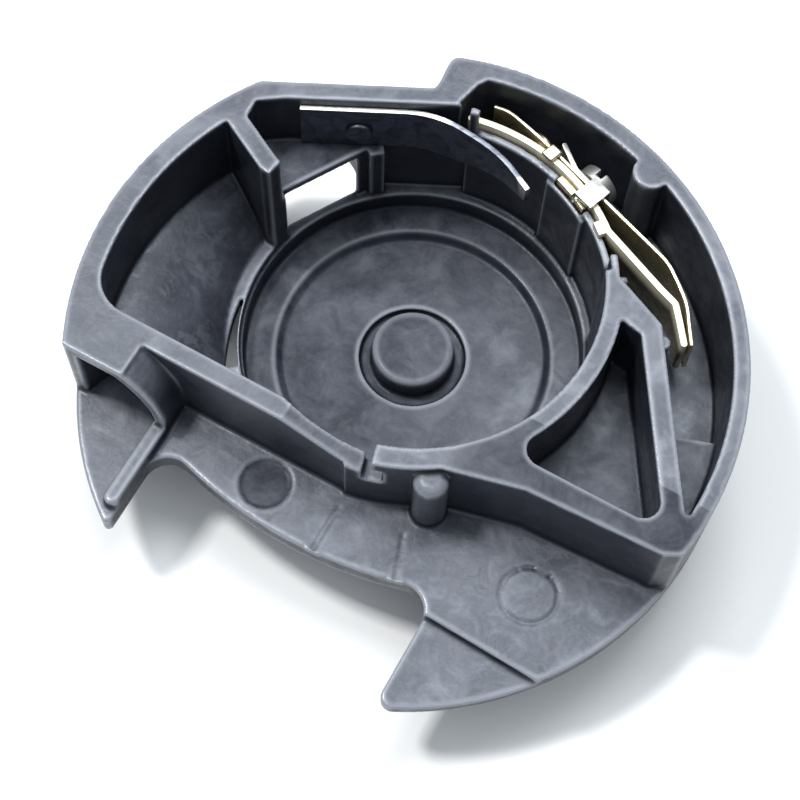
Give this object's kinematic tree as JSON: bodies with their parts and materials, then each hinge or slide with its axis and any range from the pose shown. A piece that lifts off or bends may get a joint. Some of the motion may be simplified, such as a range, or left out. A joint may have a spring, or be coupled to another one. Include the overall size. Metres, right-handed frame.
{
  "type": "sewing machine bobbin case",
  "caption": "Drop-in bobbin case with an open round bay, a two-horned front flange, a sprung thread-tension leaf with its adjusting screw, and a brake leaf.",
  "frame": {"origin": "centre of the round underside of the bay floor, on the bobbin's axis", "axes": "+Z along the bobbin's axis out of the open bay, +X along the straight front bar towards the right horn, -Y towards the two horns"},
  "size_m": [0.0402, 0.0381, 0.013],
  "materials": {
    "case_plastic": "satin moulded, scuffed",
    "magnet": "matt",
    "spring_steel": "bright",
    "brass_sheet": "bright rolled",
    "screw_steel": "dull nickel"
  },
  "bodies": {
    "case": {"case_body": "case_plastic", "magnet_cover": "case_plastic", "hook_magnet": "magnet", "brake_leaf_root": "spring_steel", "brake_leaf_rivet": "spring_steel", "tension_base_plate": "brass_sheet", "tension_leaf_root": "brass_sheet", "leaf_rivet": "brass_sheet", "adjusting_nut": "brass_sheet", "lock_plate": "spring_steel"},
    "brake_leaf": {"brake_leaf_arm": "spring_steel"},
    "tension_leaf": {"tension_leaf_arm": "brass_sheet"},
    "tension_screw": {"tension_adjusting_screw": "screw_steel"}
  },
  "joints": [
    {"name": "brake_leaf_flex", "type": "hinge", "parent": "case", "child": "brake_leaf", "pos_m": [-0.0036, 0.01057, 0.0103], "axis": [0, 0, 1], "range_deg": [0, 12], "stiffness_Nm_per_rad": 0.005},
    {"name": "tension_leaf_flex", "type": "hinge", "parent": "case", "child": "tension_leaf", "pos_m": [0.0083, 0.0106, 0.0096], "axis": [0, 0, 1], "range_deg": [0, 3], "stiffness_Nm_per_rad": 0.005},
    {"name": "tension_screw_turn", "type": "hinge", "parent": "case", "child": "tension_screw", "pos_m": [0.00572, 0.01154, 0.0096], "axis": [0.342, 0.9397, 0], "range_deg": [-180, 180]}
  ]
}
